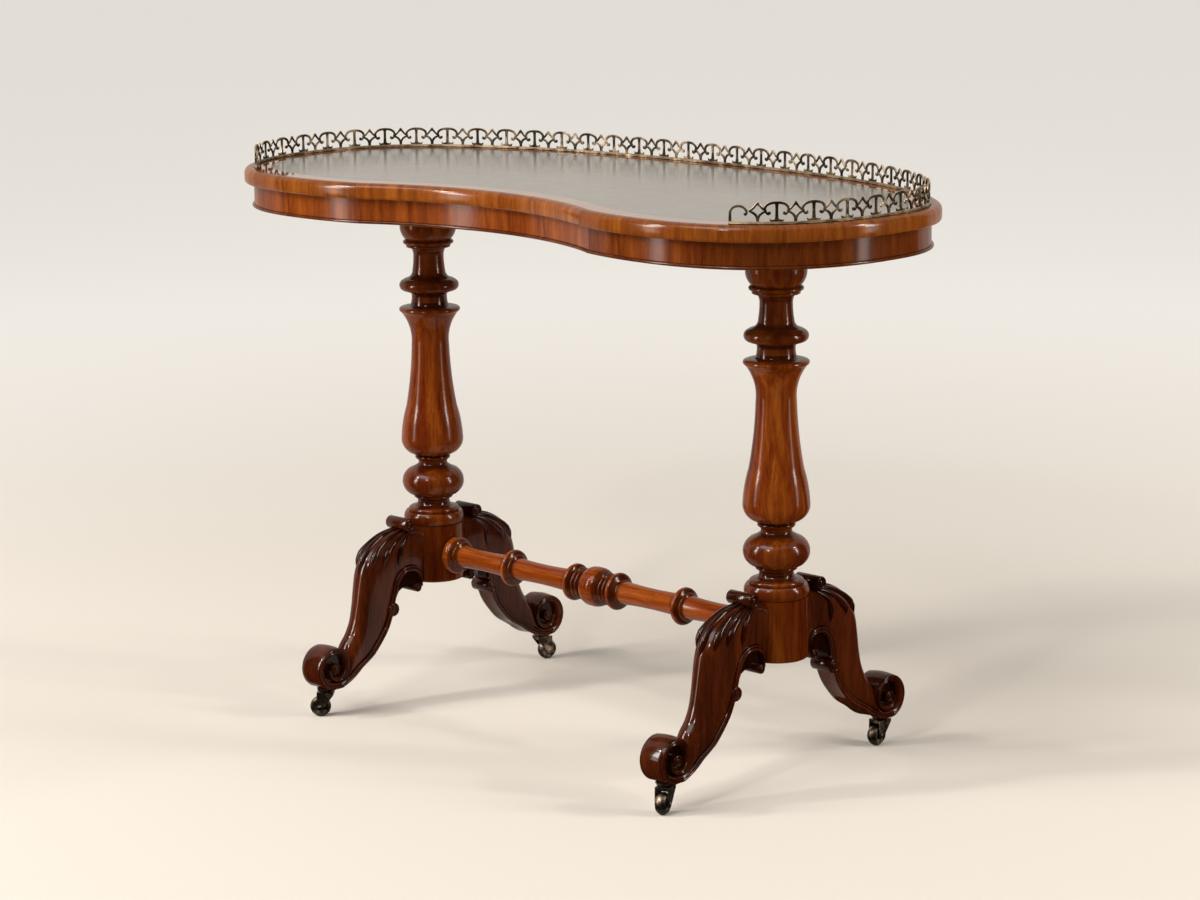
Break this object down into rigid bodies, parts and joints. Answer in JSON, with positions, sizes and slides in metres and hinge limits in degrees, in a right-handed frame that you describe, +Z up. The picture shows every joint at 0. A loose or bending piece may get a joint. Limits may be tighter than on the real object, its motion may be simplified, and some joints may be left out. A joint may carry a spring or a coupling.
{
  "type": "kidney shaped desk",
  "caption": "Kidney shaped writing table with leather top, pierced brass gallery, turned columns and stretcher, and scrolled legs on castors.",
  "frame": {"origin": "on the floor, below the middle of the top's bounding box", "axes": "+Z up, +X along the length to the right end, -Y towards the hollow front where the user sits"},
  "size_m": [1.076, 0.488, 0.7675],
  "materials": {
    "veneer": "french polished walnut veneer",
    "core": "plain sawn softwood",
    "leather": "tooled and waxed",
    "gallery_brass": "aged",
    "turned_wood": "french polished walnut",
    "leg_wood": "french polished mahogany",
    "castor_brass": "dark aged",
    "steel": "dull"
  },
  "bodies": {
    "table": {"crossbanding": "veneer", "rim_right": "veneer", "rim_front": "veneer", "rim_left": "veneer", "rim_back": "veneer", "frieze_right_end": "veneer", "frieze_front_right": "veneer", "frieze_front": "veneer", "frieze_front_left": "veneer", "frieze_left_end": "veneer", "frieze_back": "veneer", "bead_right": "veneer", "bead_front": "veneer", "bead_left": "veneer", "bead_back": "veneer", "top_board": "core", "bearer_left": "core", "bearer_right": "core", "leather_inset": "leather", "gallery_right_end": "gallery_brass", "gallery_back_right": "gallery_brass", "gallery_back_left": "gallery_brass", "gallery_left_back": "gallery_brass", "gallery_left_end": "gallery_brass", "gallery_left_front": "gallery_brass", "gallery_rail_right_end": "gallery_brass", "gallery_rail_back_right": "gallery_brass", "gallery_rail_back_left": "gallery_brass", "gallery_rail_left_back": "gallery_brass", "gallery_rail_left_end": "gallery_brass", "gallery_rail_left_front": "gallery_brass", "column_left": "turned_wood", "column_right": "turned_wood", "hub_left": "turned_wood", "hub_right": "turned_wood", "stretcher": "turned_wood", "leg_left_front": "leg_wood", "leg_left_back": "leg_wood", "leg_right_front": "leg_wood", "leg_right_back": "leg_wood", "castor_plate_left_front": "castor_brass", "castor_plate_left_back": "castor_brass", "castor_plate_right_front": "castor_brass", "castor_plate_right_back": "castor_brass", "screw_left_front": "steel", "screw_left_back": "steel", "screw_right_front": "steel", "screw_right_back": "steel"},
    "castor_left_front": {"castor_fork_left_front": "castor_brass", "castor_axle_left_front": "steel"},
    "wheel_left_front": {"castor_wheel_left_front": "castor_brass"},
    "castor_left_back": {"castor_fork_left_back": "castor_brass", "castor_axle_left_back": "steel"},
    "wheel_left_back": {"castor_wheel_left_back": "castor_brass"},
    "castor_right_front": {"castor_fork_right_front": "castor_brass", "castor_axle_right_front": "steel"},
    "wheel_right_front": {"castor_wheel_right_front": "castor_brass"},
    "castor_right_back": {"castor_fork_right_back": "castor_brass", "castor_axle_right_back": "steel"},
    "wheel_right_back": {"castor_wheel_right_back": "castor_brass"}
  },
  "joints": [
    {"name": "castor_swivel_left_front", "type": "hinge", "parent": "table", "child": "castor_left_front", "pos_m": [-0.32, -0.204, 0.03], "axis": [0, 0, 1], "continuous": true},
    {"name": "wheel_roll_left_front", "type": "hinge", "parent": "castor_left_front", "child": "wheel_left_front", "pos_m": [-0.32632, -0.20969, 0.0143], "axis": [0.6691, -0.7431, 0], "continuous": true},
    {"name": "castor_swivel_left_back", "type": "hinge", "parent": "table", "child": "castor_left_back", "pos_m": [-0.32, 0.204, 0.03], "axis": [0, 0, 1], "continuous": true},
    {"name": "wheel_roll_left_back", "type": "hinge", "parent": "castor_left_back", "child": "wheel_left_back", "pos_m": [-0.3178, 0.21221, 0.0143], "axis": [-0.9659, 0.2588, 0], "continuous": true},
    {"name": "castor_swivel_right_front", "type": "hinge", "parent": "table", "child": "castor_right_front", "pos_m": [0.32, -0.204, 0.03], "axis": [0, 0, 1], "continuous": true},
    {"name": "wheel_roll_right_front", "type": "hinge", "parent": "castor_right_front", "child": "wheel_right_front", "pos_m": [0.32305, -0.21194, 0.0143], "axis": [0.9336, 0.3584, 0], "continuous": true},
    {"name": "castor_swivel_right_back", "type": "hinge", "parent": "table", "child": "castor_right_back", "pos_m": [0.32, 0.204, 0.03], "axis": [0, 0, 1], "continuous": true},
    {"name": "wheel_roll_right_back", "type": "hinge", "parent": "castor_right_back", "child": "wheel_right_back", "pos_m": [0.32015, 0.1955, 0.0143], "axis": [0.9998, 0.0175, 0], "continuous": true}
  ]
}
